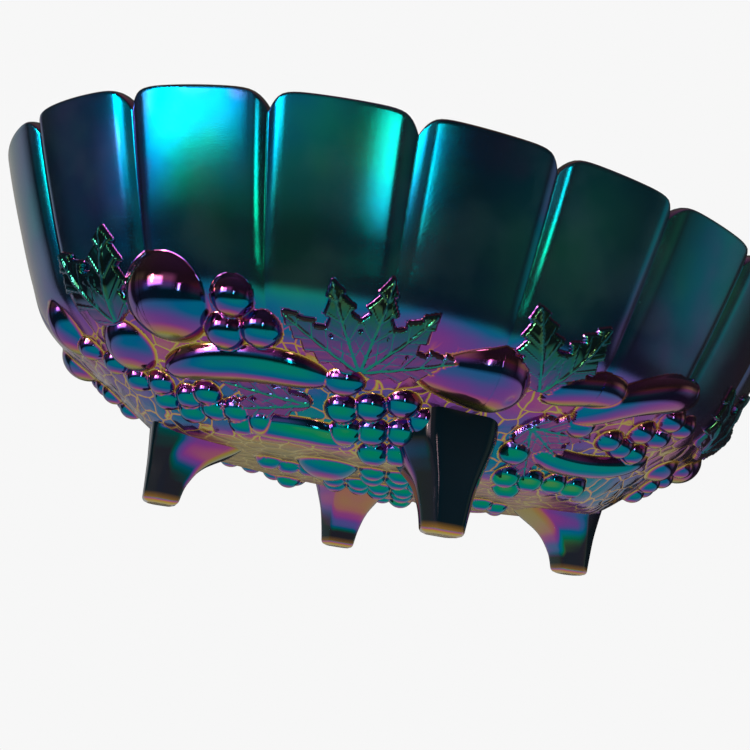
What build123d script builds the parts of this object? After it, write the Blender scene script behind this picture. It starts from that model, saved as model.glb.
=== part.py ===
"""Oval four-footed bowl of pressed iridescent glass, with a band of fruit, grapes and leaves in relief.

Millimetres, +Z up, +X along the bowl's length. The feet stand on Z = 0 and the origin is under the middle.
A place on the wall is a station and a height. Stations count panels round the rim from the groove at the
middle of the front (-Y): +X end 5, back 10, -X end -5.
"""
from build123d import *
import os
from bisect import bisect
from math import cos, hypot, pi, radians, sin, tan

# Driving dimensions
NOTCH_HALF_LENGTH = 150.0      # half axes of the oval through the notches of the rim
NOTCH_HALF_WIDTH = 109.0
PANELS = 20
NOTCH_HEIGHT = 97.5            # lowest notch, at the middle of each long side
END_RISE = 3.5                 # how much higher the rim stands at the two ends
SCALLOP = 4.5                  # height of each panel's arched top over its notches
ARCH = ((0.0, 0.0), (0.1, 0.42), (0.4, 0.85), (1.0, 1.0))    # its shape, as shares of half a panel and of its height
NOTCH_OVERLAP = 2.5            # how far each notch's cut runs past the middles of the panels beside it
WALL = 4.5                     # glass thickness
BASE_HEIGHT = 22.0             # underside of the flat base
GROOVE_DEPTH = 1.6             # grooves between panels, at the rim
PILLOW = 0.3                   # how far each panel's middle swells past the oval, at the rim

# Outer wall: height, inset from the notch oval, share of the panel relief left at that height.
# It runs nearly straight down to the band of fruit, then turns in sharply to the base.
WALL_PROFILE = (
    (108.0, -4.0, 1.0),
    (97.5, 0.0, 1.0),
    (82.0, 6.5, 0.9),
    (67.0, 13.4, 0.75),
    (54.0, 20.5, 0.5),
    (46.0, 30.0, 0.2),
    (39.0, 42.0, 0.0),
    (32.0, 52.5, 0.0),
    (26.0, 61.0, 0.0),
    (BASE_HEIGHT, 69.0, 0.0),
)
# Cavity: the same, drawn one glass thickness inside
CAVITY_PROFILE = (
    (108.0, 0.8, 0.8),
    (97.5, 4.8, 0.8),
    (82.0, 11.4, 0.7),
    (67.0, 18.5, 0.5),
    (55.5, 25.6, 0.3),
    (49.0, 33.5, 0.1),
    (42.5, 44.5, 0.0),
    (35.8, 54.7, 0.0),
    (30.2, 63.0, 0.0),
    (BASE_HEIGHT + WALL, 70.0, 0.0),
)

# Feet: height, inner and outer face from the foot's centre, half breadth
FOOT_SECTIONS = (
    (0.0, -6.0, 5.0, 7.0),
    (8.0, -8.0, 6.0, 8.5),
    (15.0, -13.0, 7.0, 10.5),
    (21.0, -22.0, 8.0, 13.5),
    (28.0, -30.0, 9.0, 17.0),
    (38.0, -32.0, 9.0, 19.0),
)
END_FOOT_REACH = 80.0          # foot centres from the middle of the bowl
SIDE_FOOT_REACH = 55.0
FACET_SHARE = 0.6              # breadth of the flat outer facet
BACK_SHARE = 0.7
FOOT_EDGE = 1.5

# How steeply the sides rise where they meet the wall
FRUIT_SLOPE = radians(58)
BANANA_SLOPE = radians(66)
BERRY_SLOPE = radians(74)
LEAF_RELIEF = 1.8              # how far leaves stand off the wall
LEAF_REACH = 14.0              # half depth of the block a leaf is cut from
OVAL_STEPS = 1440


def oval_run():
    """Angles round the rim oval and the length of rim up to each."""
    angles = [2 * pi * step / OVAL_STEPS for step in range(OVAL_STEPS + 1)]
    run = [0.0]
    for start, end in zip(angles, angles[1:]):
        across = NOTCH_HALF_LENGTH * (sin(end) - sin(start))
        along = NOTCH_HALF_WIDTH * (cos(end) - cos(start))
        run.append(run[-1] + hypot(across, along))
    return angles, run


ANGLES, RUN = oval_run()
PANEL_WIDTH = RUN[-1] / PANELS


def angle_at(station):
    """Angle on the oval at a station, so that all panels are equally wide at the rim."""
    wanted = station % PANELS * PANEL_WIDTH
    step = min(bisect(RUN, wanted), OVAL_STEPS)
    share = (wanted - RUN[step - 1]) / (RUN[step] - RUN[step - 1])
    return ANGLES[step - 1] + share * (ANGLES[step] - ANGLES[step - 1])


def oval_point(station, inset):
    angle = angle_at(station)
    return (NOTCH_HALF_LENGTH - inset) * sin(angle), (inset - NOTCH_HALF_WIDTH) * cos(angle)


def vessel(profile):
    """Solid through panelled oval sections: each panel an arc, with a groove where two arcs meet."""
    with BuildPart() as body:
        for height, inset, relief in profile:
            corners = [oval_point(panel, inset + GROOVE_DEPTH * relief) for panel in range(PANELS)]
            crowns = [oval_point(panel + 0.5, inset - PILLOW * relief) for panel in range(PANELS)]
            with BuildSketch(Plane.XY.offset(height)):
                with BuildLine():
                    for corner, crown, following in zip(corners, crowns, corners[1:] + corners[:1]):
                        ThreePointArc(corner, crown, following)
                make_face()
        loft()
    return body.part


def wall_slope(height):
    """Inset of the outer wall at a height, and how fast it grows downwards."""
    for (upper, inset_up, _), (lower, inset_low, _) in zip(WALL_PROFILE, WALL_PROFILE[1:]):
        if height >= lower:
            growth = (inset_low - inset_up) / (upper - lower)
            return inset_up + growth * (upper - height), growth
    return WALL_PROFILE[-1][1], growth


def wall_plane(station, height, turn=0.0):
    """Plane on the outer wall: X level along the wall, turned by an angle, Z out of the glass."""
    inset, growth = wall_slope(height)
    angle = angle_at(station)
    x, y = oval_point(station, inset)
    level = Vector((NOTCH_HALF_LENGTH - inset) * cos(angle), (NOTCH_HALF_WIDTH - inset) * sin(angle))
    outward = level.cross(Vector(0, 0, 1)).normalized() - Vector(0, 0, growth)
    return Plane(origin=(x, y, height), x_dir=level, z_dir=outward).rotated((0, 0, turn))


def base_plane(x, y):
    """Plane on the underside of the base."""
    return Plane(origin=(x, y, BASE_HEIGHT), x_dir=(1, 0, 0), z_dir=(0, 0, -1))


OUTER = vessel(WALL_PROFILE)
LEAF_SKIN = vessel([(height, inset - LEAF_RELIEF, relief) for height, inset, relief in WALL_PROFILE]) - OUTER
finished = {}


def touches(one, other):
    """Whether two solids' boxes overlap."""
    a, b = one.bounding_box(), other.bounding_box()
    apart = (
        a.min.X > b.max.X or b.min.X > a.max.X
        or a.min.Y > b.max.Y or b.min.Y > a.max.Y
        or a.min.Z > b.max.Z or b.min.Z > a.max.Z
    )
    return not apart


def finish(name, piece):
    """Trim a piece so that it only meets the wall and its finished neighbours face to face."""
    for neighbour in list(finished.values()):
        if touches(piece, neighbour):
            piece = piece - neighbour
    largest = max(piece.solids(), key=lambda solid: solid.volume)
    keep = [solid for solid in piece.solids() if solid.volume > 0.02 * largest.volume]
    finished[name] = Part() + keep


def revolved(outline, side):
    """Solid turned about a plane's X axis from the outline drawn on its +Y side."""
    with BuildPart() as fruit:
        with BuildSketch(side):
            add(outline)
        revolve(axis=Axis(side.origin, side.x_dir))
    return fruit.part - OUTER


def body(width, slope):
    """Full breadth of a body that shows this much of its breadth at the wall, and the depth of its middle."""
    return width / sin(slope), width / 2 / tan(slope)


def round_fruit(place, length, width):
    """Oval dome of this length and breadth on the wall, its long way along the plane's X."""
    breadth, depth = body(width, FRUIT_SLOPE)
    middle = place.offset(-depth)
    with BuildSketch() as outline:
        Ellipse(breadth / 2 * length / width, breadth / 2)
        with Locations((0, -breadth)):
            Rectangle(2 * breadth * length / width, 2 * breadth, mode=Mode.SUBTRACT)
    return revolved(outline.sketch, Plane(origin=middle.origin, x_dir=place.x_dir, z_dir=place.y_dir))


def pear(place, length, width):
    """Pear-shaped dome, its neck towards the plane's -X."""
    breadth, depth = body(width, FRUIT_SLOPE)
    middle = place.offset(-depth)
    half = breadth / 2 * length / width
    with BuildSketch() as outline:
        with BuildLine():
            Spline(
                (-half, 0),
                (-0.72 * half, 0.25 * breadth),
                (-0.2 * half, 0.4 * breadth),
                (0.4 * half, 0.5 * breadth),
                (half, 0),
                tangents=((0, 1), (0, -1)),
            )
            Line((half, 0), (-half, 0))
        make_face()
    return revolved(outline.sketch, Plane(origin=middle.origin, x_dir=place.x_dir, z_dir=place.y_dir))


def banana(place, length, width, bend):
    """Bowed long dome with round ends; bend is the bow's height as a share of its length."""
    breadth, depth = body(width, BANANA_SLOPE)
    half = (length - width) / 2
    rise = bend * length / 2
    with BuildPart() as fruit:
        with BuildLine(place.offset(-depth)):
            path = ThreePointArc((-half, -rise), (0, rise), (half, -rise))
        with BuildSketch(Plane(origin=path @ 0, z_dir=path % 0)):
            Circle(breadth / 2)
        sweep()
        with Locations(path @ 0, path @ 1):
            Sphere(breadth / 2)
    return fruit.part - OUTER


def berries(places, size):
    """Cluster of round berries, one at each plane."""
    breadth, depth = body(size, BERRY_SLOPE)
    with BuildPart() as cluster:
        for place in places:
            with Locations(place.offset(-depth)):
                Sphere(breadth / 2)
    return cluster.part - OUTER


def on_wall(places):
    """Planes on the wall for pairs of station and height."""
    return [wall_plane(station, height) for station, height in places]


def leaflet_outline(length, width, teeth):
    """Saw-toothed leaf from its stalk at the origin to its tip on +X."""
    upper = [(0.0, 0.0)]
    for tooth in range(teeth):
        share = (tooth + 0.6) / teeth
        half = width / 2 * sin(pi * share ** 0.8) + 0.1 * width
        upper.append((length * share, half))
        upper.append((length * (share + 0.1 / teeth), 0.72 * half))
    lower = [(x, -y) for x, y in reversed(upper[1:])]
    return upper + [(length, 0.0)] + lower


def leaf(place, length, width, turns, teeth=5):
    """One leaf of one or more leaflets that spread from the stalk at the given angles."""
    with BuildPart() as blade:
        with BuildSketch(place):
            for turn in turns:
                with Locations(Location((0, 0, 0), (0, 0, turn))):
                    Polygon(*leaflet_outline(length, width, teeth), align=None)
        extrude(amount=LEAF_REACH, both=True)
        add(LEAF_SKIN, mode=Mode.INTERSECT)
    return blade.part


def foot(x_share, y_share):
    """Faceted foot that widens into the belly; the shares point from the middle of the bowl to it."""
    reach = END_FOOT_REACH * abs(x_share) + SIDE_FOOT_REACH * abs(y_share)
    centre = Plane(origin=(reach * x_share, reach * y_share, 0), x_dir=(x_share, y_share, 0))
    with BuildPart() as leg:
        for height, inner, outer, half in FOOT_SECTIONS:
            shoulder = outer - 0.35 * (outer - inner)
            with BuildSketch(centre.offset(height)):
                Polygon(
                    (outer, FACET_SHARE * half),
                    (shoulder, half),
                    (inner, BACK_SHARE * half),
                    (inner, -BACK_SHARE * half),
                    (shoulder, -half),
                    (outer, -FACET_SHARE * half),
                    align=None,
                )
        loft()
        fillet(leg.edges().group_by(Axis.Z)[0], FOOT_EDGE)
    return leg.part - OUTER


def bowl():
    """Vessel with its scalloped rim: one pressing of glass, cut at the top by a notch between panels."""
    with BuildPart() as glass:
        add(OUTER)
        add(vessel(CAVITY_PROFILE), mode=Mode.SUBTRACT)
        for panel in range(PANELS):
            x, y = oval_point(panel, 0)
            base = NOTCH_HEIGHT + END_RISE * (x / NOTCH_HALF_LENGTH) ** 2
            level = wall_plane(panel, NOTCH_HEIGHT).x_dir
            cut = Plane(origin=(x, y, base), x_dir=level, z_dir=level.cross(Vector(0, 0, 1)))
            half = PANEL_WIDTH / 2 + NOTCH_OVERLAP
            with BuildSketch(cut):
                with BuildLine():
                    Spline([(across * half, up * SCALLOP) for across, up in ARCH])
                    Polyline((half, SCALLOP), (half, 4 * SCALLOP), (0, 4 * SCALLOP))
                    mirror(about=Plane.YZ)
                make_face()
            extrude(amount=3 * WALL, both=True, mode=Mode.SUBTRACT)
    return glass.part


def front_relief():
    """Fruit, grapes and leaves of one long side, the nearer pieces first so that leaves give way to them."""
    yield "peach", round_fruit(wall_plane(-2.9, 50.5), 26.0, 25.0)
    yield "plum", round_fruit(wall_plane(-3.65, 42.0, turn=70.0), 20.0, 18.0)
    yield "small_plum", round_fruit(wall_plane(-4.45, 47.5, turn=75.0), 20.0, 15.0)
    yield "cherries", berries(on_wall([(-2.27, 52.5), (-2.08, 46.5), (-2.42, 45.5)]), 12.5)
    yield "left_banana", banana(wall_plane(-2.4, 38.5, turn=2.0), 50.0, 14.5, 0.1)
    yield "lower_banana", banana(wall_plane(-1.95, 25.5, turn=-2.0), 34.0, 10.5, 0.05)
    yield "pear", pear(wall_plane(-0.1, 43.5, turn=6.0), 33.0, 25.0)
    yield "upper_banana", banana(wall_plane(1.0, 47.5, turn=14.0), 30.0, 13.0, 0.1)
    yield "right_banana", banana(wall_plane(1.62, 49.0, turn=30.0), 44.0, 14.0, 0.12)
    yield "bottom_banana", banana(wall_plane(2.0, 33.5, turn=14.0), 50.0, 11.0, -0.08)
    yield "base_peach", round_fruit(base_plane(-28.0, -15.0), 22.0, 21.0)
    yield "oval_grape", round_fruit(wall_plane(-1.35, 38.5, turn=8.0), 13.0, 10.5)
    yield "centre_grapes", berries(
        on_wall([(-1.36, 32.5), (-1.04, 34.0), (-0.7, 36.0), (-1.3, 27.5), (-0.97, 28.5), (-0.62, 29.5),
                 (-0.4, 33.0), (-0.9, 23.5), (-0.56, 24.5)]),
        11.0,
    )
    yield "left_grapes", berries(
        on_wall([(-4.3, 43.0), (-4.1, 39.5), (-3.95, 35.5), (-3.6, 34.5), (-3.7, 31.0), (-3.3, 31.5),
                 (-3.4, 28.0), (-3.0, 32.5), (-3.0, 29.0), (-2.7, 29.0), (-2.4, 27.0), (-2.7, 26.0)]),
        9.5,
    )
    yield "right_berries", berries(on_wall([(1.27, 41.0), (0.88, 31.0)]), 11.0)
    yield "right_grapes", berries(
        on_wall([(1.83, 40.0), (2.05, 44.0), (2.2, 49.0), (2.1, 39.5), (2.33, 44.5), (2.4, 39.5), (2.45, 49.0)]),
        10.0,
    )
    yield "under_grapes", berries(
        on_wall([(1.1, 24.5), (1.5, 25.0), (1.9, 26.0), (2.3, 26.5)]) + [base_plane(30.0, -36.0)], 10.0
    )
    yield "base_grapes", berries(
        [base_plane(x, y) for x, y in [(-46.0, -2.0), (-38.5, 0.0), (-31.0, -2.0), (-13.0, -20.0), (-4.0, -23.0),
                                       (5.0, -20.0), (14.0, -23.0), (-9.0, -8.0), (0.0, -10.0), (9.0, -8.0),
                                       (18.0, -11.0)]],
        10.0,
    )
    yield "corner_peach", round_fruit(wall_plane(4.3, 46.0), 17.0, 16.0)
    yield "corner_plum", round_fruit(wall_plane(3.45, 40.0, turn=20.0), 15.0, 13.0)
    yield "corner_grapes", berries(
        on_wall([(3.9, 44.0), (4.15, 40.5), (3.95, 37.0), (4.4, 37.0), (4.2, 33.5)]), 9.5
    )
    yield "vine_leaf", leaf(wall_plane(-1.2, 41.5), 29.0, 11.0, [18.0, 50.0, 82.0, 115.0, 148.0])
    yield "pear_leaf", leaf(wall_plane(0.5, 45.0), 27.0, 16.0, [62.0, 118.0])
    yield "leaf_spray", leaf(wall_plane(-1.7, 33.0), 32.0, 9.0, [174.0, 196.0])
    yield "low_leaf", leaf(wall_plane(0.75, 38.0), 24.0, 12.0, [2.0, -30.0, -62.0])
    yield "corner_leaf", leaf(wall_plane(3.3, 48.0), 27.0, 14.0, [30.0, 80.0, 130.0])
    yield "end_leaf", leaf(wall_plane(-3.5, 47.0), 27.0, 14.0, [85.0, 130.0])


finished["bowl"] = bowl()
for foot_name, direction in {
    "foot_right": (1, 0),
    "foot_back": (0, 1),
    "foot_left": (-1, 0),
    "foot_front": (0, -1),
}.items():
    finished[foot_name] = foot(*direction)
for motif, shape in front_relief():
    finish(f"front_{motif}", shape)
for name, piece in list(finished.items()):
    if name.startswith("front_"):
        finished[name.replace("front_", "back_")] = piece.rotate(Axis.Z, 180)

os.makedirs("parts", exist_ok=True)
for name, piece in finished.items():
    piece.label = name
    export_step(piece, f"parts/{name}.step")
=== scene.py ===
"""Oval four-footed bowl of pressed iridescent glass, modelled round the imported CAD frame.

Lengths in the shape code are millimetres and become metres when a mesh is made; the stage is in metres.
Stations count panels round the rim from the groove at the middle of the front (-Y): the +X end is 5, the
middle of the back 10 and the -X end -5.
"""
import math

import bpy
import numpy as np
from mathutils import Matrix, Vector


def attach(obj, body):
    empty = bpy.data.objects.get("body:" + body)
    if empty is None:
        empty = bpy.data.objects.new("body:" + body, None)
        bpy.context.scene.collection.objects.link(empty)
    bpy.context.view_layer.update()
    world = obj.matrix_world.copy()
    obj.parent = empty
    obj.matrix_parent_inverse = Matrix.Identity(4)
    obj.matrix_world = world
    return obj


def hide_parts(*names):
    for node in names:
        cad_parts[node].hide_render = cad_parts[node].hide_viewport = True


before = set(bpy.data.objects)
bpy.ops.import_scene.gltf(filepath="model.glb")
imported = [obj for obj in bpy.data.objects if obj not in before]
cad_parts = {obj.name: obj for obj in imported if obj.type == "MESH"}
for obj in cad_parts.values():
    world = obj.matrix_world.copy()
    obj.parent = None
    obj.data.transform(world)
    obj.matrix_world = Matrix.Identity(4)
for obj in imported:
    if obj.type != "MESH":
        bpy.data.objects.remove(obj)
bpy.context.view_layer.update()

MM = 0.001

# The vessel, as in the CAD model
NOTCH_HALF_LENGTH = 150.0
NOTCH_HALF_WIDTH = 109.0
PANELS = 20
NOTCH_HEIGHT = 97.5            # lowest notch, at the middle of each long side
END_RISE = 3.5                 # how much higher the rim stands at the two ends
SCALLOP = 4.5                  # height of each panel's arched top over its notches
SCALLOP_POWER = 8.0            # how square the arches are
WALL = 4.5
BASE_HEIGHT = 22.0
GROOVE_DEPTH = 1.6
GROOVE_REACH = 4.5             # breadth of the strip that turns down into a groove
GROOVE_POWER = 1.6             # how sharply it turns down
PILLOW = 0.3                   # how far each panel's middle swells past the oval
RIM_STEPS = 2880
PROFILE_SAMPLES = 4000
PROFILE_NUDGE = 0.05           # half the step over which the profile's direction is measured
SHORTEST = 1e-12               # length under which a vector counts as having no direction

# Profile from above the rim to the middle of the base: height, half length, half width, panel relief left
PROFILE = (
    (108.0, 154.0, 113.0, 1.0),
    (97.5, 150.0, 109.0, 1.0),
    (82.0, 143.5, 102.5, 0.9),
    (67.0, 136.6, 95.6, 0.75),
    (54.0, 129.5, 88.5, 0.5),
    (46.0, 120.0, 79.0, 0.2),
    (39.0, 108.0, 67.0, 0.0),
    (32.0, 97.5, 56.5, 0.0),
    (26.0, 89.0, 48.0, 0.0),
    (22.6, 82.5, 41.5, 0.0),
    (22.0, 74.0, 35.0, 0.0),
    (22.0, 40.0, 19.0, 0.0),
    (22.0, 2.0, 1.0, 0.0),
)


# ---------------------------------------------------------------- the wall as a surface

def rim_angles():
    """Shares of the way round the rim, the oval's angle at each of them, and the length of the rim."""
    angle = np.linspace(0.0, 2 * math.pi, RIM_STEPS + 1)
    x = NOTCH_HALF_LENGTH * np.sin(angle)
    y = -NOTCH_HALF_WIDTH * np.cos(angle)
    run = np.concatenate([[0.0], np.cumsum(np.hypot(np.diff(x), np.diff(y)))])
    return run / run[-1], angle, run[-1]


RIM_SHARE, RIM_ANGLE, RIM_LENGTH = rim_angles()
PANEL_WIDTH = RIM_LENGTH / PANELS


def angle_at(station):
    """Angle on the oval at a station, so that all panels are equally wide at the rim."""
    return np.interp(np.mod(station / PANELS, 1.0), RIM_SHARE, RIM_ANGLE)


def smooth_table(points, samples):
    """Smooth curve through profile points: distances along it, and one column per value of the points."""
    points = np.array(points)
    chord = np.linalg.norm(np.diff(points[:, [0, 2]], axis=0), axis=1)
    knots = np.concatenate([[0.0], np.cumsum(chord)])
    slopes = np.gradient(points, knots, axis=0)
    along = np.linspace(0.0, knots[-1], samples)
    span = np.clip(np.searchsorted(knots, along, side="right") - 1, 0, len(knots) - 2)
    width = (knots[span + 1] - knots[span])[:, None]
    t = (along - knots[span])[:, None] / width
    start, end = points[span], points[span + 1]
    values = (
        (2 * t**3 - 3 * t**2 + 1) * start + (t**3 - 2 * t**2 + t) * width * slopes[span]
        + (3 * t**2 - 2 * t**3) * end + (t**3 - t**2) * width * slopes[span + 1]
    )
    return along, values


ALONG, TABLE = smooth_table(PROFILE, PROFILE_SAMPLES)


def run_at_height(height):
    """Distance down the profile at which the wall has a height."""
    return np.interp(-np.asarray(height, float), -TABLE[:, 0], ALONG)


def groove(station):
    """1 in a groove, falling to 0 at a panel's middle."""
    offset = np.abs(station - np.round(station))
    return 1.0 - 2.0 * offset


def panel_inset(station):
    """How far a panel's surface lies inside the plain oval: deep in the grooves, swollen between them."""
    middle = groove(station)
    reach = (1.0 - middle) * PANEL_WIDTH / 2
    strip = np.clip(1.0 - reach / GROOVE_REACH, 0.0, 1.0)
    return GROOVE_DEPTH * strip**GROOVE_POWER - PILLOW * (1.0 - middle**2)


def wall(station, along, depth=0.0):
    """Points of the wall at stations and distances down the profile, a depth inside its outer surface."""
    height, half_length, half_width, relief = (
        np.interp(along, ALONG, TABLE[:, column]) for column in range(4)
    )
    above, below = along - PROFILE_NUDGE, along + PROFILE_NUDGE
    rise = np.interp(above, ALONG, TABLE[:, 0]) - np.interp(below, ALONG, TABLE[:, 0])
    spread = np.interp(above, ALONG, TABLE[:, 2]) - np.interp(below, ALONG, TABLE[:, 2])
    length = np.hypot(rise, spread)
    inset = relief * panel_inset(station) + depth * rise / length
    angle = angle_at(station)
    x = (half_length - inset) * np.sin(angle)
    y = -(half_width - inset) * np.cos(angle)
    z = height + depth * spread / length
    return np.stack(np.broadcast_arrays(x, y, z), axis=-1)


def rim_height(station):
    """Height of the rim: a notch at every groove, an arched top on every panel, both ends raised."""
    share = np.sin(angle_at(station)) ** 2
    return NOTCH_HEIGHT + END_RISE * share + SCALLOP * (1.0 - groove(station) ** SCALLOP_POWER)


def unit(vectors):
    """Vectors scaled to length 1."""
    return vectors / np.maximum(np.linalg.norm(vectors, axis=-1, keepdims=True), SHORTEST)


def grid_normals(points):
    """Outward normals of a grid of points: rows run down the profile, columns right round the bowl."""
    sideways = np.roll(points, -1, axis=1) - np.roll(points, 1, axis=1)
    down = np.gradient(points, axis=0)
    return unit(np.cross(down, sideways))


# ---------------------------------------------------------------- places and shapes of the relief

WALL_NUDGE = 0.02              # half the step over which the wall's directions are measured
NOWHERE = -50.0                # rise of a shape where it doesn't stand over the wall
NEAR_MARGIN = 3.0              # how far past a shape's ends points are still tried
# How steeply the sides rise where they meet the wall
FRUIT_SLOPE = math.radians(58.0)
BANANA_SLOPE = math.radians(66.0)
BERRY_SLOPE = math.radians(74.0)
END_BLUNTNESS = 3              # power that rounds off the ends of long fruit
PIT_PLACE = 0.6                # of the half length, where a pear's blossom end lies
PIT_BREADTH = 1.3
BUD_HEIGHT = 0.5               # of the bud in the pit, as a share of the pit's depth
BUD_NARROWING = 2.5            # times narrower than the pit
NECK_SPAN = (-1.0, 0.5)        # shares of the half length between which a pear's neck widens
LEAF_RELIEF = 1.2              # height of a leaf's flesh
VEIN_RELIEF = 0.5              # height of its veins and rim over the flesh
VEIN_BREADTH = 0.32
RIM_BREADTH = 0.32
RIM_INSET = 0.5                # how far inside the outline the raised rim runs
MIDRIB_BREADTHS = (0.65, 0.30)    # at the stalk and at the tip
LEAF_SWELL = 0.3               # how far the flesh swells between two veins
LEAF_EDGE = (-0.3, 0.8)        # distances inside the outline where a leaf starts and has its full height
LEAF_CUT = 0.5                 # how far outside the outline a leaf's blend into the wall is cut off
LEAF_TAPER = 0.8               # under 1, a leaf is broadest nearer to its stalk
LEAF_FULLNESS = 0.7            # under 1, its sides are fuller
MIDRIB_HEIGHT = 1.5            # times that of the other veins
SWELL_FADE = 1.5               # distance inside the outline over which the swelling fades out
TOOTH_SLANT = 0.7
VEIN_SLANT = 1.1
VEIN_SQUEEZE = 0.67            # distance across a slanting vein, of that along the midrib
TOOTH_BREADTHS = (1.12, 0.70)     # half breadth of the outline at the root and at the tip of a tooth


class Place:
    """A spot on the glass: origin, and axes right, up and out of the wall, turned by an angle."""

    def __init__(self, origin, right, out, turn):
        up = np.cross(out, right)
        angle = math.radians(turn)
        self.axes = np.stack([
            math.cos(angle) * right + math.sin(angle) * up,
            math.cos(angle) * up - math.sin(angle) * right,
            out,
        ])
        self.origin = origin


def on_wall(station, height, turn=0.0):
    """Place on the outer wall at a station and height."""
    along = run_at_height(height)
    origin = wall(station, along)
    right = unit(wall(station + WALL_NUDGE, along) - wall(station - WALL_NUDGE, along))
    down = unit(wall(station, along + WALL_NUDGE) - wall(station, along - WALL_NUDGE))
    return Place(origin, right, unit(np.cross(down, right)), turn)


def on_base(x, y):
    """Place on the flat base, seen from below."""
    return Place(np.array([x, y, BASE_HEIGHT]), np.array([1.0, 0.0, 0.0]), np.array([0.0, 0.0, -1.0]), 0.0)


def smooth_step(low, high, value):
    """0 below low, 1 above high and a smooth rise between them."""
    t = np.clip((value - low) / (high - low), 0.0, 1.0)
    return t * t * (3.0 - 2.0 * t)


def dome(length, width, slope=FRUIT_SLOPE):
    """Oval fruit of this length and breadth on the wall, its long way along the place's right."""
    radii = np.array([length, width, width]) / 2 / math.sin(slope)
    middle = np.array([0.0, 0.0, -width / 2 / math.tan(slope)])

    def shape(local, tilt):
        start, step = (local - middle) / radii, tilt / radii
        a = (step * step).sum(axis=1)
        b = (start * step).sum(axis=1)
        c = (start * start).sum(axis=1) - 1.0
        root = b * b - a * c
        rise = np.where(root > 0, (np.sqrt(np.maximum(root, 0.0)) - b) / a, NOWHERE)
        return rise, np.zeros_like(rise)

    shape.reach = length / 2 + NEAR_MARGIN
    return shape


def long_fruit(length, width, bend=0.0, slope=BANANA_SLOPE, neck=1.0, pit=0.0):
    """Banana or pear: a dome along a bowed line; a neck under 1 thins it towards the place's left."""
    half = length / 2
    depth = width / 2 / math.tan(slope)

    def shape(local, tilt):
        share = np.clip(local[:, 0] / half, -1.0, 1.0)
        bow = bend * length * (0.5 - share**2)
        thin = neck + (1.0 - neck) * smooth_step(*NECK_SPAN, share)
        breadth = thin * width / 2 * np.sqrt(1.0 - np.abs(share) ** END_BLUNTNESS)
        heading = -4.0 * bend * share    # slope of the bowed line
        across = (local[:, 1] - bow) / np.sqrt(1.0 + heading**2)
        root = breadth**2 + depth**2 - across**2
        rise = np.where(root > 0, np.sqrt(np.maximum(root, 0.0)) - depth - local[:, 2], NOWHERE)
        away = np.hypot(local[:, 0] - PIT_PLACE * half, across) / PIT_BREADTH
        hollow, bud = np.exp(-(away**2)), BUD_HEIGHT * np.exp(-((BUD_NARROWING * away) ** 2))
        rise = rise - pit * (hollow - bud)
        rise = np.where(np.abs(local[:, 0]) < half, rise, NOWHERE)
        return rise, np.zeros_like(rise)

    shape.reach = half + NEAR_MARGIN
    return shape


def leaflet(length, width, teeth):
    """Saw-toothed leaf with a midrib and slanting side veins, from its stalk at the place to its tip.

    Its marks are 1 on the flesh and rise to 2 on the veins and the rim.
    """
    spacing = length / teeth

    def shape(local, tilt):
        x, y = local[:, 0], np.abs(local[:, 1])
        share = np.clip(x / length, 0.0, 1.0)
        tooth = (x - TOOTH_SLANT * y) / spacing
        saw = tooth - np.floor(tooth)
        outline = width / 2 * np.sin(math.pi * share**LEAF_TAPER) ** LEAF_FULLNESS
        half = outline * (TOOTH_BREADTHS[0] + (TOOTH_BREADTHS[1] - TOOTH_BREADTHS[0]) * saw)
        inside = np.minimum(half - y, np.minimum(x, length - x))
        rim = np.exp(-(((inside - RIM_INSET) / RIM_BREADTH) ** 2))
        vein = (x - VEIN_SLANT * y) / spacing
        off_vein = np.abs(vein - np.round(vein)) * spacing * VEIN_SQUEEZE
        side_vein = np.exp(-((off_vein / VEIN_BREADTH) ** 2)) * smooth_step(0.0, 1.0, inside)
        midrib_breadth = MIDRIB_BREADTHS[0] + (MIDRIB_BREADTHS[1] - MIDRIB_BREADTHS[0]) * share
        midrib = np.exp(-((y / midrib_breadth) ** 2))
        ridge = np.maximum(np.maximum(side_vein, MIDRIB_HEIGHT * midrib), rim)
        between = np.sin(math.pi * (vein - np.floor(vein)))
        swell = LEAF_SWELL * between * smooth_step(0.0, SWELL_FADE, inside)
        edge = smooth_step(*LEAF_EDGE, inside)
        rise = edge * (LEAF_RELIEF + swell + VEIN_RELIEF * ridge) - (1.0 - edge) * FILLET
        rise = np.where(inside > -LEAF_CUT, rise, NOWHERE)
        return rise, edge * (1.0 + np.clip(ridge, 0.0, 1.0))

    shape.reach = length + NEAR_MARGIN
    return shape


BASE_GRAPES = (                # x and y on the base
    (-46.0, -2.0), (-38.5, 0.0), (-31.0, -2.0), (-13.0, -20.0), (-4.0, -23.0), (5.0, -20.0),
    (14.0, -23.0), (-9.0, -8.0), (0.0, -10.0), (9.0, -8.0), (18.0, -11.0),
)


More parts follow.
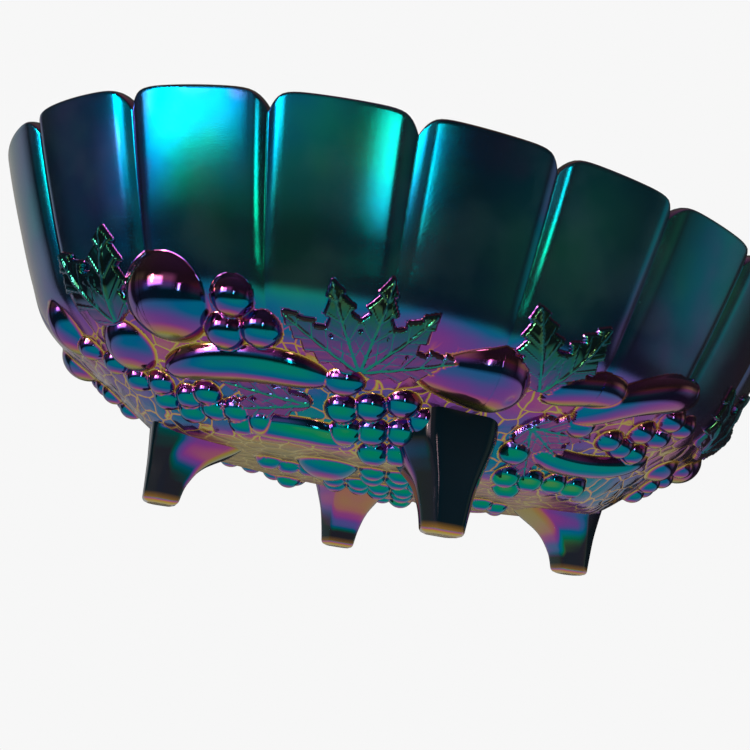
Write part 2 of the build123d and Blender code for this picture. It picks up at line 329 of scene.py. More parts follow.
def side_relief(shift):
    """The relief of one long side: for each piece its parts, as pairs of place and shape.

    Shift is 0 for the front and half the rim for the back, which is the front turned half round.
    """
    sign = -1.0 if shift else 1.0

    def wall_at(station, height, turn=0.0):
        return on_wall(station + shift, height, turn)

    def base_at(x, y):
        return on_base(sign * x, sign * y)

    def grapes(size, places):
        return [(wall_at(station, height), dome(size, size, BERRY_SLOPE)) for station, height in places]

    def base_grapes(size, places):
        return [(base_at(x, y), dome(size, size, BERRY_SLOPE)) for x, y in places]

    def leaves(station, height, turns, length, width, teeth=4):
        return [(wall_at(station, height, turn), leaflet(length, width, teeth)) for turn in turns]

    return {
        "peach": [(wall_at(-2.9, 50.5), dome(26.0, 25.0))],
        "plum": [(wall_at(-3.65, 42.0, 70.0), dome(20.0, 18.0))],
        "small_plum": [(wall_at(-4.45, 47.5, 75.0), dome(20.0, 15.0))],
        "cherries": grapes(12.5, [(-2.27, 52.5), (-2.08, 46.5), (-2.42, 45.5)]),
        "left_banana": [(wall_at(-2.4, 38.5, 2.0), long_fruit(50.0, 14.5, 0.1))],
        "lower_banana": [(wall_at(-1.95, 25.5, -2.0), long_fruit(34.0, 10.5, 0.05))],
        "pear": [(wall_at(-0.1, 43.5, 6.0), long_fruit(33.0, 25.0, 0.03, FRUIT_SLOPE, 0.6, 0.6))],
        "upper_banana": [(wall_at(1.0, 47.5, 14.0), long_fruit(30.0, 13.0, 0.1))],
        "right_banana": [(wall_at(1.62, 49.0, 30.0), long_fruit(44.0, 14.0, 0.12))],
        "bottom_banana": [(wall_at(2.0, 33.5, 14.0), long_fruit(50.0, 11.0, -0.08))],
        "base_peach": [(base_at(-28.0, -15.0), dome(22.0, 21.0))],
        "oval_grape": [(wall_at(-1.35, 38.5, 8.0), dome(13.0, 10.5, BERRY_SLOPE))],
        "centre_grapes": grapes(11.0, [
            (-1.36, 32.5), (-1.04, 34.0), (-0.7, 36.0), (-1.3, 27.5), (-0.97, 28.5), (-0.62, 29.5),
            (-0.4, 33.0), (-0.9, 23.5), (-0.56, 24.5),
        ]),
        "left_grapes": grapes(9.5, [
            (-4.3, 43.0), (-4.1, 39.5), (-3.95, 35.5), (-3.6, 34.5), (-3.7, 31.0), (-3.3, 31.5),
            (-3.4, 28.0), (-3.0, 32.5), (-3.0, 29.0), (-2.7, 29.0), (-2.4, 27.0), (-2.7, 26.0),
        ]),
        "right_berries": grapes(11.0, [(1.27, 41.0), (0.88, 31.0)]),
        "right_grapes": grapes(10.0, [
            (1.83, 40.0), (2.05, 44.0), (2.2, 49.0), (2.1, 39.5), (2.33, 44.5), (2.4, 39.5), (2.45, 49.0),
        ]),
        "under_grapes": grapes(10.0, [(1.1, 24.5), (1.5, 25.0), (1.9, 26.0), (2.3, 26.5)])
        + base_grapes(10.0, [(30.0, -36.0)]),
        "base_grapes": base_grapes(10.0, BASE_GRAPES),
        "corner_peach": [(wall_at(4.3, 46.0), dome(17.0, 16.0))],
        "corner_plum": [(wall_at(3.45, 40.0, 20.0), dome(15.0, 13.0))],
        "corner_grapes": grapes(9.5, [(3.9, 44.0), (4.15, 40.5), (3.95, 37.0), (4.4, 37.0), (4.2, 33.5)]),
        "vine_leaf": leaves(-1.2, 41.5, [18.0, 50.0, 82.0, 115.0, 148.0], 29.0, 11.5, 5),
        "pear_leaf": leaves(0.5, 45.0, [62.0, 118.0], 27.0, 15.0, 5),
        "leaf_spray": leaves(-1.7, 33.0, [174.0, 196.0], 32.0, 9.0, 6),
        "low_leaf": leaves(0.75, 38.0, [2.0, -30.0, -62.0], 24.0, 13.0, 5),
        "corner_leaf": leaves(3.3, 48.0, [30.0, 80.0, 130.0], 27.0, 15.0),
        "end_leaf": leaves(-3.5, 47.0, [85.0, 130.0], 27.0, 15.0),
    }


# ---------------------------------------------------------------- the relief raised on a fine grid

FIELD_TOP = 70.0               # height under which all relief lies
FIELD_COLUMNS = 1500           # grid lines round the bowl
FIELD_SPACING = 0.42           # between grid lines down the profile
FIELD_END = 2.0                # how far short of the middle of the base the grid stops, along the profile
FILLET = 0.6                   # blend where two shapes meet
SKIN = 0.6                     # how far a piece's back lies inside the wall
THINNEST = 0.01                # rise below which the wall is left bare
# the gold fringe round a fruit's foot is a painted highlight in the fillet where it meets the wall
FRINGE = 0.5                   # height of the gold fringe round a fruit's foot


def smooth_max(one, other):
    """Larger of two heights, rounded where they cross."""
    near = np.maximum(FILLET - np.abs(one - other), 0.0) / FILLET
    return np.maximum(one, other) + near * near * FILLET / 4


def cell_owners(height, owner):
    """Owner of every grid cell: that of its highest corner, or -1 where the cell lies on the bare wall."""
    corners = [(0, 0), (0, -1), (-1, 0), (-1, -1)]
    heights = np.stack([np.roll(height, step, axis=(0, 1))[:-1] for step in corners])
    owners = np.stack([np.roll(owner, step, axis=(0, 1))[:-1] for step in corners])
    top = heights.argmax(axis=0)[None]
    chosen = np.take_along_axis(owners, top, axis=0)[0]
    return np.where(heights.max(axis=0) > THINNEST, chosen, -1)


def relief_field(pieces):
    """Raises a grid over the wall by every shape.

    Returns grids of the raised points, their normals, the points at the pieces' backs, the piece that
    owns each cell, how much of a crease each point lies in, and the leaves' marks.
    """
    stations = np.arange(FIELD_COLUMNS) * PANELS / FIELD_COLUMNS
    along = np.arange(run_at_height(FIELD_TOP), ALONG[-1] - FIELD_END, FIELD_SPACING)
    ground = wall(stations[None, :], along[:, None])
    normals = grid_normals(ground)
    flat, tilt = ground.reshape(-1, 3), normals.reshape(-1, 3)
    height = np.zeros(len(flat))
    best = np.full(len(flat), -FILLET)
    owner = np.full(len(flat), -1)
    mark = np.zeros(len(flat))
    for index, parts in enumerate(pieces.values()):
        for place, shape in parts:
            away = flat - place.origin
            near = np.flatnonzero((away**2).sum(axis=1) < shape.reach**2)
            rise, marks = shape(away[near] @ place.axes.T, tilt[near] @ place.axes.T)
            height[near] = smooth_max(height[near], rise)
            wins = rise > best[near]
            won = near[wins]
            best[won], owner[won], mark[won] = rise[wins], index, marks[wins]
    blend = np.clip((height - np.maximum(best, 0.0)) / (FILLET / 4), 0.0, 1.0)
    fringe = np.exp(-((height / FRINGE) ** 2))
    crease = np.where(mark > 0, 0.0, np.maximum(blend, fringe))
    shape_of = ground.shape[:2]
    raised = (flat + height[:, None] * tilt).reshape(ground.shape)
    return {
        "points": raised,
        "normals": grid_normals(raised),
        "back": ground - SKIN * normals,
        "cell_owner": cell_owners(height.reshape(shape_of), owner.reshape(shape_of)),
        "crease": crease.reshape(shape_of),
        "mark": mark.reshape(shape_of),
    }


def make_object(name, points, faces, marks=None, normals=None):
    """Mesh object from points in millimetres, with float marks by name and, if given, its own normals."""
    mesh = bpy.data.meshes.new(name)
    mesh.from_pydata((points * MM).tolist(), [], faces)
    for label, values in (marks or {}).items():
        attribute = mesh.attributes.new(label, "FLOAT", "POINT")
        attribute.data.foreach_set("value", np.asarray(values, np.float32))
    mesh.shade_smooth()
    if normals is not None:
        mesh.normals_split_custom_set_from_vertices(normals.tolist())
    piece = bpy.data.objects.new(name, mesh)
    bpy.context.scene.collection.objects.link(piece)
    return piece


def relief_piece(name, field, index):
    """Closed piece over the cells that one owner won: raised front, back inside the wall, and sides."""
    columns = field["points"].shape[1]
    row, column = np.nonzero(field["cell_owner"] == index)
    following = (column + 1) % columns
    corners = np.stack([
        row * columns + column,
        row * columns + following,
        (row + 1) * columns + following,
        (row + 1) * columns + column,
    ], axis=1)[:, ::-1]
    used, compact = np.unique(corners, return_inverse=True)
    front = compact.reshape(corners.shape)
    count = len(used)
    edges = np.concatenate([front[:, [k, (k + 1) % 4]] for k in range(4)])
    keys = edges[:, 0] * count + edges[:, 1]
    reverse = edges[:, 1] * count + edges[:, 0]
    rim = edges[~np.isin(keys, reverse)]
    sides = np.stack([rim[:, 1], rim[:, 0], rim[:, 0] + count, rim[:, 1] + count], axis=1)
    faces = np.concatenate([front, front[:, ::-1] + count, sides])
    points = np.concatenate([field[part].reshape(-1, 3)[used] for part in ("points", "back")])
    facing = field["normals"].reshape(-1, 3)[used]
    marks = {
        label: np.tile(field[label].reshape(-1)[used], 2) for label in ("crease", "mark")
    }
    return make_object(name, points, faces.tolist(), marks, np.concatenate([facing, -facing]))


# ---------------------------------------------------------------- the vessel and its feet

PANEL_COLUMNS = 28
GROOVE_CROWDING = 0.75         # how much closer the columns stand at a groove
LIP_ROWS = 12
LIP_RISE = 0.8                 # how far the lip is rounded over the skins it joins
UPPER_ROWS = 16
UPPER_JOIN = 88.0              # height below which the rows lie level
LOWER_SPACING = 2.4            # between the rows below that height


def ring_stations():
    """Stations of the vessel's columns, which stand closer together at the grooves."""
    share = np.arange(PANELS * PANEL_COLUMNS) / PANEL_COLUMNS
    return share - GROOVE_CROWDING * np.sin(2 * math.pi * share) / (2 * math.pi)


def vessel_rows(depth):
    """Rows of one skin of the vessel from just under the lip to the middle of the base."""
    stations = ring_stations()[None, :]
    top = run_at_height(rim_height(stations) - LIP_RISE)
    join = run_at_height(UPPER_JOIN)
    upper = top + (join - top) * np.linspace(0.0, 1.0, UPPER_ROWS)[:, None]
    lower = np.arange(join + LOWER_SPACING, ALONG[-1], LOWER_SPACING)[:, None] + 0.0 * stations
    return wall(stations, np.concatenate([upper, lower]), depth)


def lip_rows():
    """Softly rounded lip from the outer skin over to the inner one."""
    stations = ring_stations()[None, :]
    turn = np.linspace(0.0, math.pi, LIP_ROWS)[1:-1, None]
    along = run_at_height(rim_height(stations) - LIP_RISE + LIP_RISE * np.sin(turn))
    return wall(stations, along, WALL / 2 * (1.0 - np.cos(turn)))


def vessel():
    """The bowl itself: outer skin, lip and inner skin in one closed mesh."""
    rows = np.concatenate([vessel_rows(0.0)[::-1], lip_rows(), vessel_rows(WALL)])
    count, columns = rows.shape[:2]
    index = np.arange(count * columns).reshape(count, columns)
    following = np.roll(index, -1, axis=1)
    quads = np.stack([index[:-1], following[:-1], following[1:], index[1:]], axis=-1).reshape(-1, 4)
    points = np.concatenate([rows.reshape(-1, 3), rows[[0, -1]].mean(axis=1)])
    caps = [(b, a, count * columns) for a, b in zip(index[0], following[0])]
    caps += [(a, b, count * columns + 1) for a, b in zip(index[-1], following[-1])]
    return make_object("vessel", points, quads.tolist() + caps)


FOOT_SECTIONS = (              # height, inner end, outer end, half breadth
    (0.0, -6.0, 5.3, 7.0),
    (8.0, -8.0, 5.9, 8.5),
    (15.0, -13.0, 6.5, 10.5),
    (21.0, -22.0, 7.2, 13.5),
    (28.0, -30.0, 8.1, 17.0),
    (38.0, -32.0, 9.0, 19.0),
)
FOOT_REACHES = {               # where the feet stand
    "foot_right": (80.0, 0.0),
    "foot_left": (-80.0, 0.0),
    "foot_front": (0.0, -55.0),
    "foot_back": (0.0, 55.0),
}
FACET_SHARE = 0.6              # breadth of the flat outer facet, of the whole
BACK_SHARE = 0.7               # and of the inner side
SHOULDER = 0.35                # how far back the broadest place lies, of the depth
FOOT_ROWS = 72
FOOT_EDGE = 1.8                # rounding of the edge that the bowl stands on
CORNER_ROUNDING = 0.22         # share of each side of the outline taken by its rounded corners
CORNER_POINTS = 7
FOOT_ROOT = 1.2                # how far a foot's top runs into the wall
COARSER = 8                    # steps of the profile's table taken at once to find the wall above a foot


def foot_outline(inner, outer, half):
    """Rounded outline of a foot's section: flat outer facet, two slanting sides and a narrower back."""
    shoulder = outer - SHOULDER * (outer - inner)
    corners = np.array([
        (outer, -FACET_SHARE * half),
        (outer, FACET_SHARE * half),
        (shoulder, half),
        (inner, BACK_SHARE * half),
        (inner, -BACK_SHARE * half),
        (shoulder, -half),
    ])
    before = corners + CORNER_ROUNDING * (np.roll(corners, 1, axis=0) - corners)
    after = corners + CORNER_ROUNDING * (np.roll(corners, -1, axis=0) - corners)
    t = np.linspace(0.0, 1.0, CORNER_POINTS)[None, :, None]
    rounded = (1 - t) ** 2 * before[:, None] + 2 * t * (1 - t) * corners[:, None] + t**2 * after[:, None]
    return rounded.reshape(-1, 2)


def wall_height_over(x, y):
    """Height of the bowl's outer surface above points of the plan."""
    table = TABLE[::-COARSER]
    reach = (x[:, None] / table[:, 1]) ** 2 + (y[:, None] / table[:, 2]) ** 2
    inside = (reach > 1.0).sum(axis=1)
    return table[np.clip(inside, 0, len(table) - 1), 0]


def foot(name, reach):
    """One foot, flared into the wall, with its top kept just inside the glass."""
    heights, *sizes = smooth_table(FOOT_SECTIONS, FOOT_ROWS)[1].T
    under = np.maximum(FOOT_EDGE - heights, 0.0)
    inset = FOOT_EDGE - np.sqrt(FOOT_EDGE**2 - under**2)
    rows = []
    for height, inner, outer, half, tuck in zip(heights, *sizes, inset):
        outline = foot_outline(inner + tuck, outer - tuck, half - tuck)
        rows.append(np.column_stack([outline, np.full(len(outline), height)]))
    rows = np.array(rows)
    out = np.array([*reach, 0.0]) / np.linalg.norm(reach)
    side = np.array([-out[1], out[0], 0.0])
    points = rows[..., 0:1] * out + rows[..., 1:2] * side + np.array([*reach, 0.0])
    points[..., 2] = rows[..., 2]
    flat = points.reshape(-1, 3)
    flat[:, 2] = np.minimum(flat[:, 2], wall_height_over(flat[:, 0], flat[:, 1]) + FOOT_ROOT)
    count, columns = rows.shape[:2]
    index = np.arange(count * columns).reshape(count, columns)
    following = np.roll(index, -1, axis=1)
    quads = np.stack([index[:-1], following[:-1], following[1:], index[1:]], axis=-1).reshape(-1, 4)
    caps = [index[0][::-1].tolist(), index[-1].tolist()]
    return make_object(name + "_glass", flat, quads.tolist() + caps)


# ---------------------------------------------------------------- glass

class Nodes:
    """Small helper that adds shader nodes and wires them by value."""

    def __init__(self, tree):
        self.tree = tree
        tree.nodes.clear()

    def add(self, kind, inputs=None, output=0, **settings):
        """New node with linked or constant inputs. Returns one of its outputs, or a node that has none."""
        node = self.tree.nodes.new("ShaderNode" + kind)
        for setting, value in settings.items():
            setattr(node, setting, value)
        for socket, value in (inputs or {}).items():
            if isinstance(value, bpy.types.NodeSocket):
                self.tree.links.new(value, node.inputs[socket])
            else:
                node.inputs[socket].default_value = value
        return node.outputs[output] if len(node.outputs) else node

    def math(self, operation, *values):
        return self.add("Math", dict(enumerate(values)), operation=operation)

    def ramp(self, factor, stops, smooth=True):
        """Color ramp through pairs of position and color, or position and grey."""
        node = self.tree.nodes.new("ShaderNodeValToRGB")
        node.color_ramp.interpolation = "EASE" if smooth else "LINEAR"
        elements = node.color_ramp.elements
        for position, color in stops[2:]:
            elements.new(position)
        for element, (position, color) in zip(elements, stops):
            element.position = position
            element.color = color if isinstance(color, tuple) else (color, color, color, 1.0)
        self.tree.links.new(factor, node.inputs["Fac"])
        return node.outputs["Color"]

    def mix(self, factor, first, second):
        """Mix of two colors."""
        return self.add("Mix", {0: factor, 6: first, 7: second}, output=2, data_type="RGBA")

    def blend(self, factor, first, second):
        """Mix of two plain values."""
        return self.add("Mix", {0: factor, 2: first, 3: second}, data_type="FLOAT")

    def remap(self, value, low, high, to_low, to_high):
        limits = {"From Min": low, "From Max": high, "To Min": to_low, "To Max": to_high}
        return self.add("MapRange", {"Value": value, **limits})


FILM_SCALE = 400.0             # nanometres that a ramp's white stands for
FILM_INDEX = 2.6
LEAF_FILM_INDEX = (1.85, 2.25)    # on leaves high and low on the wall
FACET_FILM_INDEX = 1.30        # on the upright facets of the feet, where the film is faint
GLASS_INDEX = 1.52
HUE_KEEPING = 1.15             # power of the index ratio by which a weaker film is thicker, to keep its hue
WALL_ROUGHNESS = 0.14
WALL_GRAIN = 0.25
POLISHED_ROUGHNESS = 0.08      # of the relief and the feet
POLISHED_GRAIN = 0.05
GRAIN_HEIGHT = 0.00006

# Film thickness in nanometres by how far the surface faces down (0) or up (1)
WALL_FILM = (
    (0.0, 180), (0.04, 206), (0.10, 228), (0.22, 239), (0.33, 243), (0.42, 246), (0.6, 216), (1.0, 206),
)
RELIEF_FILM = (
    (0.0, 180), (0.03, 205), (0.08, 226), (0.2, 235), (0.3, 235), (0.37, 222), (0.42, 206), (0.6, 214),
    (1.0, 232),
)
FOOT_FILM = (
    (0.0, 164), (0.12, 172), (0.2, 188), (0.27, 206), (0.34, 217), (0.5, 220), (0.6, 205), (1.0, 195),
)
CREASE_FILM = 168.0
FLESH_FILM = 214.0
VEIN_FILM = 246.0

NAVY = (0.001, 0.012, 0.022, 1.0)
TEAL = (0.014, 0.028, 0.030, 1.0)
GREEN = (0.007, 0.015, 0.010, 1.0)
OLIVE = (0.060, 0.034, 0.032, 1.0)
# painted reflection: purple for surfaces facing down, where the lit table shows in the film
PAINTED_REFLECTION_PURPLE = (0.030, 0.006, 0.060, 1.0)
HAZE = (0.045, 0.070, 0.070, 1.0)
BLACK = (0.003, 0.003, 0.006, 1.0)
# gold of the painted highlights in creases and cell seams, and of the edge round the feet's soles
GOLD = (0.42, 0.20, 0.02, 1.0)
BRIGHT_TEAL = (0.008, 0.09, 0.12, 1.0)
FLESH = (0.09, 0.03, 0.03, 1.0)
RELIEF_DARKENING = 0.7
FOOT_DARKENING = 0.8
VEIN_COLORING = 0.8

# Scales of the noises and of the cells pressed into the lower wall
BROAD_SCALE = 22.0
FINE_SCALE = 4200.0
CLOUD_SCALE = 48.0
BEND_SCALE = 90.0
CELL_SCALE = 150.0
CELL_BEND = 0.006              # how far noise bends the cells' edges, in metres

# Ranges: the two ends of a value, and what the material makes of them
BY_SLOPE = (-1.0, 1.0, 0.0, 1.0)                # the normal's height
LEFT_DRIFT = (-0.15, -0.09, 5.0, 0.0)           # film by x
HEIGHT_DRIFT = (0.024, 0.042, 14.0, -9.0)       # film by height
BROAD_DRIFT = (0.25, 0.75, -14.0, 14.0)         # film by the broad noise
TO_TEAL = (0.4, 0.6, 0.0, 1.0)                  # color by the broad noise
TO_NAVY = (-0.02, -0.14, 0.0, 1.0)              # color by x
TO_OLIVE = (0.03, 0.13, 0.0, 0.8)               # color by x
# painted reflection: how far surfaces facing down turn purple
TO_PAINTED_REFLECTION = (0.35, 0.1, 0.0, 0.8)               # color by slope
TO_HAZE = (0.45, 0.7, 0.0, 0.7)                 # color by the cloud noise
BASE_GLOSS = (0.0, 0.04, 0.15, 0.5)             # by slope, so that the flat base stays dull
BASE_ROUGHNESS = (0.04, 0.0, 0.0, 0.25)
FINE_ROUGHNESS = (0.3, 0.7, -0.03, 0.03)
OUTSIDE = (0.52, 0.48, 0.0, 1.0)                # by slope
PATTERN_BAND = (0.050, 0.043, 0.0, 1.0)         # height under which the wall has pressed cells
SEAM = (0.06, 0.01, 0.0, 1.0)                   # by distance from a cell's edge
CELL_SWELL = (0.0, 0.3, 0.0, 16.0)              # rise of a cell over that of the fine grain
LOW_ON_WALL = (0.054, 0.044, 0.0, 1.0)          # by height
FACING_DOWN = (0.5, 0.38, 0.0, 1.0)             # by slope
ON_LEAF = (0.5, 1.0, 0.0, 1.0)                  # by mark
ON_VEIN = (1.55, 1.95, 0.0, 1.0)                # by mark
SOLE = (0.0035, 0.0005, 0.0, 1.0)               # by height
FACET_FILM = (0.27, 0.37, FILM_INDEX, FACET_FILM_INDEX)    # by slope
FACET_GLOSS = (0.27, 0.37, 0.5, 0.25)           # by slope


class Look:
    """The glass at a point as shader values: its place, slope, color, film, gloss and pressed height."""

    def __init__(self, nodes, film_table):
        facing = nodes.add("NewGeometry", output="Normal")
        self.place = nodes.add("TexCoord", output="Object")
        self.slope = nodes.remap(nodes.add("SeparateXYZ", {0: facing}, output="Z"), *BY_SLOPE)
        self.across = nodes.add("SeparateXYZ", {0: self.place}, output="X")
        self.height = nodes.add("SeparateXYZ", {0: self.place}, output="Z")
        self.broad = nodes.add("TexNoise", {"Vector": self.place, "Scale": BROAD_SCALE, "Detail": 3.0})
        self.fine = nodes.add("TexNoise", {"Vector": self.place, "Scale": FINE_SCALE, "Detail": 1.0})
        self.color = self.glass_color_and_painted_reflection(nodes)
        self.film = self.drifting_film(nodes, film_table)
        self.film_index = FILM_INDEX
        self.gloss = nodes.remap(self.slope, *BASE_GLOSS)
        self.pressed = self.fine

    def glass_color_and_painted_reflection(self, nodes):
        """Color of the glass: green and teal, navy at the left, olive at the right, and purple painted on
        surfaces that face down as a painted reflection of the lit table.
        """
        color = nodes.mix(nodes.remap(self.broad, *TO_TEAL), GREEN, TEAL)
        color = nodes.mix(nodes.remap(self.across, *TO_NAVY), color, NAVY)
        color = nodes.mix(nodes.remap(self.across, *TO_OLIVE), color, OLIVE)
        # painted reflection: purple on surfaces that face down
        return nodes.mix(nodes.remap(self.slope, *TO_PAINTED_REFLECTION), color, PAINTED_REFLECTION_PURPLE)

    def drifting_film(self, nodes, film_table):
        """Film thickness by slope, drifting with the place."""
        shares = [(at, thickness / FILM_SCALE) for at, thickness in film_table]
        film = nodes.math("MULTIPLY", nodes.ramp(self.slope, shares), FILM_SCALE)
        film = nodes.math("ADD", film, nodes.remap(self.across, *LEFT_DRIFT))
        film = nodes.math("ADD", film, nodes.remap(self.height, *HEIGHT_DRIFT))
        return nodes.math("ADD", film, nodes.remap(self.broad, *BROAD_DRIFT))


def wall_detail(nodes, look):
    """Clouds in the panels, and cells pressed round the motifs with a painted gold highlight along their
    seams.
    """
    cloud = nodes.add("TexNoise", {"Vector": look.place, "Scale": CLOUD_SCALE, "Detail": 4.0})
    look.color = nodes.mix(nodes.remap(cloud, *TO_HAZE), look.color, HAZE)
    bend = nodes.add("TexNoise", {"Vector": look.place, "Scale": BEND_SCALE}, output="Color")
    offset = nodes.add("VectorMath", {0: bend, 3: CELL_BEND}, operation="SCALE")
    bent = nodes.add("VectorMath", {0: look.place, 1: offset}, operation="ADD")
    cells = nodes.add("TexVoronoi", {"Vector": bent, "Scale": CELL_SCALE}, feature="DISTANCE_TO_EDGE")
    outside = nodes.remap(look.slope, *OUTSIDE)
    band = nodes.math("MULTIPLY", nodes.remap(look.height, *PATTERN_BAND), outside)
    seam = nodes.math("MULTIPLY", nodes.remap(cells, *SEAM), band)
    # painted highlight: gold film and gold paint along the cells' seams, the creases between them
    look.film = nodes.blend(seam, look.film, CREASE_FILM)
    look.color = nodes.mix(seam, look.color, GOLD)
    swell = nodes.math("MULTIPLY", nodes.remap(cells, *CELL_SWELL), band)
    look.pressed = nodes.math("ADD", look.fine, swell)


def relief_detail(nodes, look):
    """Darker fruit with a painted gold highlight in the creases low on the wall, and leaves with purple flesh
    and teal veins.
    """
    look.color = nodes.mix(RELIEF_DARKENING, look.color, BLACK)
    crease = nodes.add("Attribute", output="Fac", attribute_name="crease")
    mark = nodes.add("Attribute", output="Fac", attribute_name="mark")
    low = nodes.remap(look.height, *LOW_ON_WALL)
    # painted highlight: creases that face down low on the wall, where the fillets catch the lit table, get a
    # gold film and gold paint
    under = nodes.math("MULTIPLY", crease, nodes.remap(look.slope, *FACING_DOWN))
    under = nodes.math("MULTIPLY", under, low)
    leaf = nodes.remap(mark, *ON_LEAF)
    vein = nodes.remap(mark, *ON_VEIN)
    look.film = nodes.blend(under, look.film, CREASE_FILM)
    look.film = nodes.blend(leaf, look.film, nodes.blend(low, VEIN_FILM, FLESH_FILM))
    look.film = nodes.blend(vein, look.film, VEIN_FILM)
    look.color = nodes.mix(nodes.math("MULTIPLY", leaf, low), look.color, FLESH)
    look.color = nodes.mix(nodes.math("MULTIPLY", vein, VEIN_COLORING), look.color, BRIGHT_TEAL)
    # painted highlight: gold in those creases
    look.color = nodes.mix(under, look.color, GOLD)
    leaf_index = nodes.remap(low, 0.0, 1.0, *LEAF_FILM_INDEX)
    look.film_index = nodes.remap(leaf, 0.0, 1.0, FILM_INDEX, leaf_index)


def foot_detail(nodes, look):
    """Nearly black upright facets with a faint film, and a gold edge round the sole."""
    look.color = nodes.mix(FOOT_DARKENING, look.color, NAVY)
    look.color = nodes.mix(nodes.remap(look.height, *SOLE), look.color, GOLD)
    look.film_index = nodes.remap(look.slope, *FACET_FILM)
    look.gloss = nodes.remap(look.slope, *FACET_GLOSS)


def glass(name, film_table, roughness, grain, add_detail):
    """Dark glass under an iridescent film, with the detail of one kind of surface."""
    material = bpy.data.materials.new(name)
    material.use_nodes = True
    nodes = Nodes(material.node_tree)
    look = Look(nodes, film_table)
    add_detail(nodes, look)
    thicker = nodes.math("POWER", nodes.math("DIVIDE", FILM_INDEX, look.film_index), HUE_KEEPING)
    base = nodes.remap(look.slope, *BASE_ROUGHNESS)
    uneven = nodes.math("ADD", base, nodes.remap(look.fine, *FINE_ROUGHNESS))
    bump = nodes.add("Bump", {"Height": look.pressed, "Strength": grain, "Distance": GRAIN_HEIGHT})
    shader = nodes.add("BsdfPrincipled", {
        "Base Color": look.color,
        "Roughness": nodes.math("ADD", roughness, uneven),
        "Specular IOR Level": look.gloss,
        "IOR": GLASS_INDEX,
        "Normal": bump,
        "Thin Film Thickness": nodes.math("MULTIPLY", look.film, thicker),
        "Thin Film IOR": look.film_index,
    })
    nodes.add("OutputMaterial", {"Surface": shader})
    return material


def place_piece(piece, node, material):
    """Gives a piece its glass and lets it stand for a CAD node."""
    piece.data.materials.append(material)
    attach(piece, "root")
    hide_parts(node)


def build_bowl():
    """Every piece of the bowl, each standing for its CAD node."""
    wall_glass = glass("wall_glass", WALL_FILM, WALL_ROUGHNESS, WALL_GRAIN, wall_detail)
    fruit_glass = glass("fruit_glass", RELIEF_FILM, POLISHED_ROUGHNESS, POLISHED_GRAIN, relief_detail)
    foot_glass = glass("foot_glass", FOOT_FILM, POLISHED_ROUGHNESS, POLISHED_GRAIN, foot_detail)
    place_piece(vessel(), "bowl", wall_glass)
    for name, reach in FOOT_REACHES.items():
        place_piece(foot(name, reach), name, foot_glass)
    relief = {"front_" + name: parts for name, parts in side_relief(0.0).items()}
    relief.update({"back_" + name: parts for name, parts in side_relief(PANELS / 2).items()})
    field = relief_field(relief)
    for index, node in enumerate(relief):
        place_piece(relief_piece(node + "_glass", field, index), node, fruit_glass)


# ---------------------------------------------------------------- stage, light and camera

# The camera's place and axes, low at the front left and turned on its side a little
CAMERA_PLACE = (-0.0963, -0.2794, -0.0250)
CAMERA_RIGHT = (0.9321, -0.3356, 0.1360)
CAMERA_UP = (-0.2176, -0.2191, 0.9511)
CAMERA_BACK = (-0.2894, -0.9161, -0.2773)
LENS = 38.22
SHIFT = (-0.0089, 0.0095)
CLIP_START = 0.01

FLOOR_SIZE = 12.0
FLOOR_GLOW = 0.20              # light the floor gives off to stay as pale as the backdrop
BACKDROP = (0.93, 0.93, 0.93, 1.0)    # floor, and all that the camera sees behind the bowl
AMBIENT = (0.65, 0.65, 0.65, 1.0)     # light on matt surfaces
# Brightness of the room in reflections, from straight below (0) to straight above (1)
SKY = ((0.0, 0.02), (0.3, 0.03), (0.6, 0.02), (0.8, 0.04), (1.0, 0.15))
LAMP_PLACE = (-0.7, -0.8, 1.2)
LAMP_SIZE = 0.9
LAMP_POWER = 9.0
CARD_HALF_AXES = (0.215, 0.152)    # lit tabletop that the glass reflects from below
CARD_DEPTH = 0.002
CARD_GLOW = 0.5
CARD_FADE = 0.15               # share of it over which its light fades out
CARD_POINTS = 96
# Lights seen in reflections: azimuth from -Y toward +X and elevation in degrees, half sizes, softness, color
PATCHES = (
    (-61.0, -1.0, 12.0, 5.0, 6.0, (5.6, 5.6, 5.6)),
    (-67.0, 3.0, 0.8, 6.0, 1.5, (60.0, 60.0, 60.0)),
    (-35.0, -2.0, 8.0, 8.0, 12.0, (0.28, 0.28, 0.28)),
    (-80.0, -8.0, 3.0, 2.0, 8.0, (0.15, 0.25, 0.35)),
    (-9.0, -12.0, 1.0, 7.0, 1.5, (11.0, 11.0, 9.0)),
    (-99.0, 1.0, 8.0, 10.0, 8.0, (0.05, 0.07, 0.07)),
    (-152.0, 5.0, 20.0, 40.0, 7.0, (0.42, 0.42, 0.42)),
    (30.0, -10.0, 6.0, 4.0, 16.0, (0.08, 0.06, 0.03)),
    (72.0, 1.0, 6.0, 6.0, 14.0, (0.24, 0.26, 0.22)),
)


def patch_light(nodes, azimuth, elevation, patch):
    """A soft-edged patch of light in the sky."""
    middle, height, half_wide, half_high, soft, color = patch
    aside = nodes.math("ABSOLUTE", nodes.math("SUBTRACT", azimuth, middle))
    above = nodes.math("ABSOLUTE", nodes.math("SUBTRACT", elevation, height))
    wide = nodes.remap(aside, half_wide, half_wide + soft, 1.0, 0.0)
    high = nodes.remap(above, half_high, half_high + soft, 1.0, 0.0)
    return nodes.add("VectorMath", {0: color, 3: nodes.math("MULTIPLY", wide, high)}, operation="SCALE")


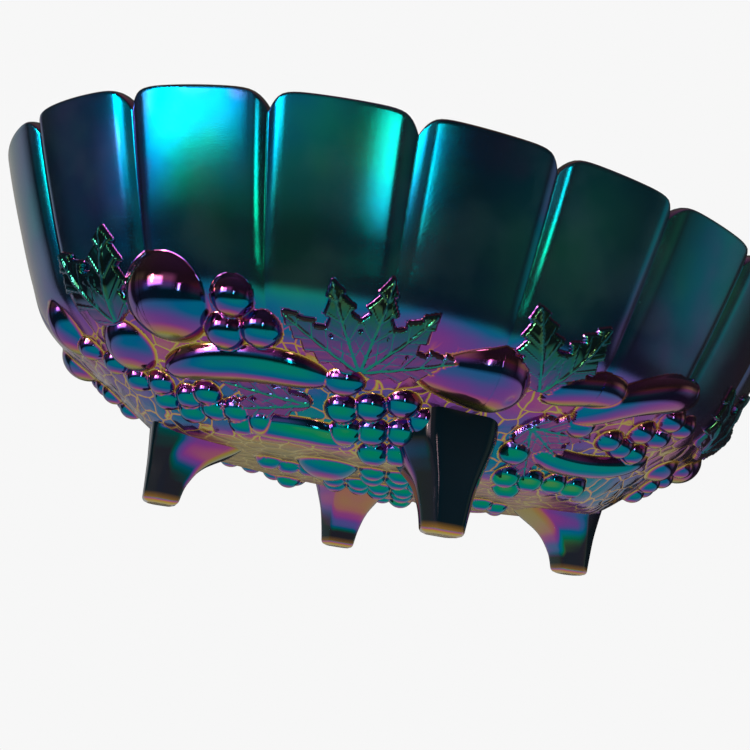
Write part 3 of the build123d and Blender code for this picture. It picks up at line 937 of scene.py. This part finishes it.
def make_world():
    """Pale to the camera; for reflections a dark room with a lit table below and a few lights round it."""
    world = bpy.data.worlds.new("studio")
    bpy.context.scene.world = world
    world.use_nodes = True
    nodes = Nodes(world.node_tree)
    direction = nodes.add("TexCoord", output="Generated")
    x, y, z = (nodes.add("SeparateXYZ", {0: direction}, output=axis) for axis in "XYZ")
    azimuth = nodes.math("DEGREES", nodes.math("ARCTAN2", x, nodes.math("MULTIPLY", y, -1.0)))
    elevation = nodes.math("DEGREES", nodes.math("ARCSINE", z))
    sky = nodes.ramp(nodes.remap(elevation, -90.0, 90.0, 0.0, 1.0), SKY, smooth=False)
    for patch in PATCHES:
        light = patch_light(nodes, azimuth, elevation, patch)
        sky = nodes.add("VectorMath", {0: sky, 1: light}, operation="ADD")
    ambient = nodes.mix(nodes.add("LightPath", output="Is Glossy Ray"), AMBIENT, sky)
    seen = nodes.mix(nodes.add("LightPath", output="Is Camera Ray"), ambient, BACKDROP)
    nodes.add("OutputWorld", {"Surface": nodes.add("Background", {"Color": seen})})


def make_floor():
    """Pale floor under the feet, seen from above only and left out of the light that the glass gets."""
    half = FLOOR_SIZE / 2 / MM
    corners = half * np.array([(-1.0, -1.0, 0.0), (1.0, -1.0, 0.0), (1.0, 1.0, 0.0), (-1.0, 1.0, 0.0)])
    floor = make_object("floor", corners, [(0, 1, 2, 3)])
    material = bpy.data.materials.new("floor")
    material.use_nodes = True
    nodes = Nodes(material.node_tree)
    diffuse = nodes.add("BsdfDiffuse", {"Color": BACKDROP})
    surface = nodes.add("AddShader", {0: diffuse, 1: nodes.add("Emission", {"Strength": FLOOR_GLOW})})
    through = nodes.add("BsdfTransparent")
    behind = nodes.add("NewGeometry", output="Backfacing")
    nodes.add("OutputMaterial", {"Surface": nodes.add("MixShader", {0: behind, 1: surface, 2: through})})
    floor.data.materials.append(material)
    floor.visible_glossy = False
    floor.visible_diffuse = False


def make_card():
    """Lit oval tabletop that only reflections see."""
    turn = np.linspace(0.0, 2 * math.pi, CARD_POINTS, endpoint=False)
    half_length, half_width = CARD_HALF_AXES
    depth = np.full(CARD_POINTS, -CARD_DEPTH)
    points = np.column_stack([half_length * np.cos(turn), half_width * np.sin(turn), depth])
    card = make_object("lit_tabletop", points / MM, [tuple(range(CARD_POINTS))])
    material = bpy.data.materials.new("lit_tabletop")
    material.use_nodes = True
    nodes = Nodes(material.node_tree)
    place = nodes.add("TexCoord", output="Object")
    scale = (1 / half_length, 1 / half_width, 0.0)
    shares = nodes.add("VectorMath", {0: place, 1: scale}, operation="MULTIPLY")
    reach = nodes.add("VectorMath", {0: shares}, output="Value", operation="LENGTH")
    glow = nodes.remap(reach, 1.0 - CARD_FADE, 1.0, CARD_GLOW, 0.0)
    nodes.add("OutputMaterial", {"Surface": nodes.add("Emission", {"Strength": glow})})
    card.data.materials.append(material)
    card.visible_camera = False
    card.visible_diffuse = False
    card.visible_shadow = False


def make_light():
    """Broad soft lamp over the front left, for the floor and for views from above."""
    data = bpy.data.lights.new("soft_lamp", "AREA")
    data.energy = LAMP_POWER
    data.size = LAMP_SIZE
    lamp = bpy.data.objects.new("soft_lamp", data)
    bpy.context.scene.collection.objects.link(lamp)
    lamp.location = LAMP_PLACE
    lamp.rotation_euler = (-Vector(LAMP_PLACE)).to_track_quat("-Z", "Y").to_euler()
    lamp.visible_glossy = False


def make_camera():
    """Camera at the photo's viewing angle."""
    data = bpy.data.cameras.new("camera")
    data.lens = LENS
    data.shift_x, data.shift_y = SHIFT
    data.clip_start = CLIP_START
    camera = bpy.data.objects.new("camera", data)
    bpy.context.scene.collection.objects.link(camera)
    axes = Matrix((CAMERA_RIGHT, CAMERA_UP, CAMERA_BACK)).transposed()
    camera.matrix_world = Matrix.Translation(CAMERA_PLACE) @ axes.to_4x4()
    bpy.context.scene.camera = camera


build_bowl()
make_world()
make_floor()
make_card()
make_light()
make_camera()
bpy.context.scene.view_settings.view_transform = "Standard"
